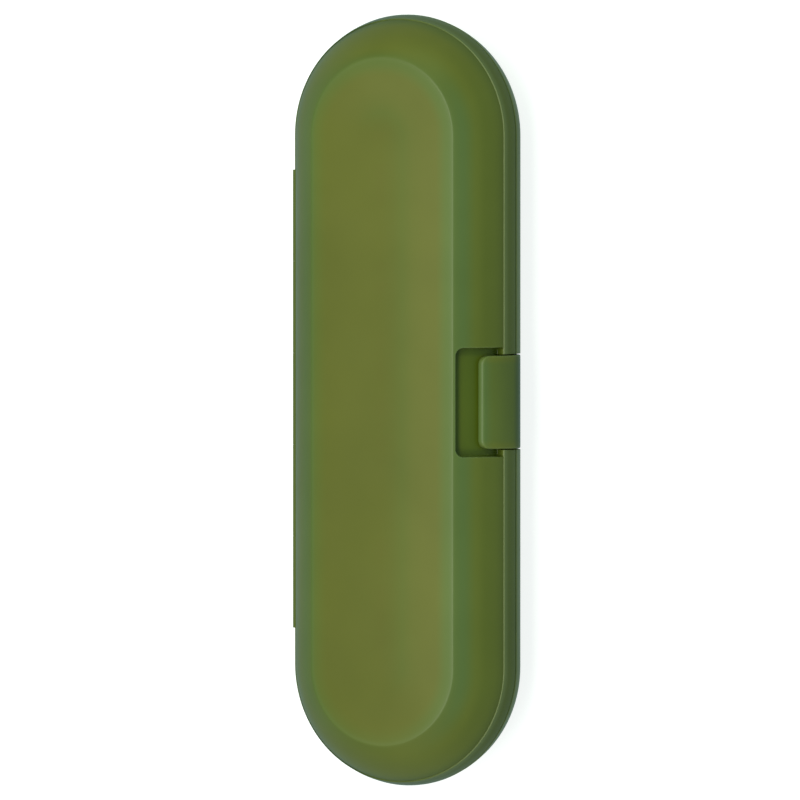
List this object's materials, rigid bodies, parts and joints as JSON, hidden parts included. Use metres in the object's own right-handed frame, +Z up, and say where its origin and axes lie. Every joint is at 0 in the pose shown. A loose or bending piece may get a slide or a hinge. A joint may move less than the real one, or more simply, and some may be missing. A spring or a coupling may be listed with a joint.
{
  "type": "electric toothbrush travel case",
  "caption": "Hard two-part travel case for an electric toothbrush: long rounded shell halves on a barrel hinge, a wrap-over side latch, and moulded trays for the handle and spare heads",
  "frame": {"origin": "middle of the flat face under the base that the case rests on", "axes": "+Y along the case's length, +X towards the latch side, hinge on the -X side, +Z up out of the lid"},
  "size_m": [0.0775, 0.24, 0.0368],
  "materials": {
    "shell_plastic": "satin olive green moulded plastic",
    "latch_plastic": "satin olive green moulded plastic",
    "tray_plastic": "fine-grained olive green moulded plastic",
    "pad_rubber": "soft dark rubber",
    "pin_steel": "drawn stainless wire",
    "screw_steel": "plain stainless steel"
  },
  "bodies": {
    "base": {"base_shell": "shell_plastic", "base_tray": "tray_plastic", "base_pads": "pad_rubber", "base_screws": "screw_steel", "hinge_pin": "pin_steel", "latch_pin": "pin_steel"},
    "lid": {"lid_shell": "shell_plastic", "lid_tray": "tray_plastic", "lid_pads": "pad_rubber", "lid_screws": "screw_steel"},
    "latch": {"latch": "latch_plastic"}
  },
  "joints": [
    {"name": "latch_pivot", "type": "hinge", "parent": "base", "child": "latch", "pos_m": [0.03214, 0, 0.01012], "axis": [0, 1, 0], "range_deg": [0, 89]},
    {"name": "lid_hinge", "type": "hinge", "parent": "base", "child": "lid", "pos_m": [-0.0377, 0, 0.0184], "axis": [0, -1, 0], "range_deg": [0, 178]}
  ],
  "couplings": [
    {"joint": "lid_hinge", "follows": "latch_pivot", "ratio": 2}
  ]
}
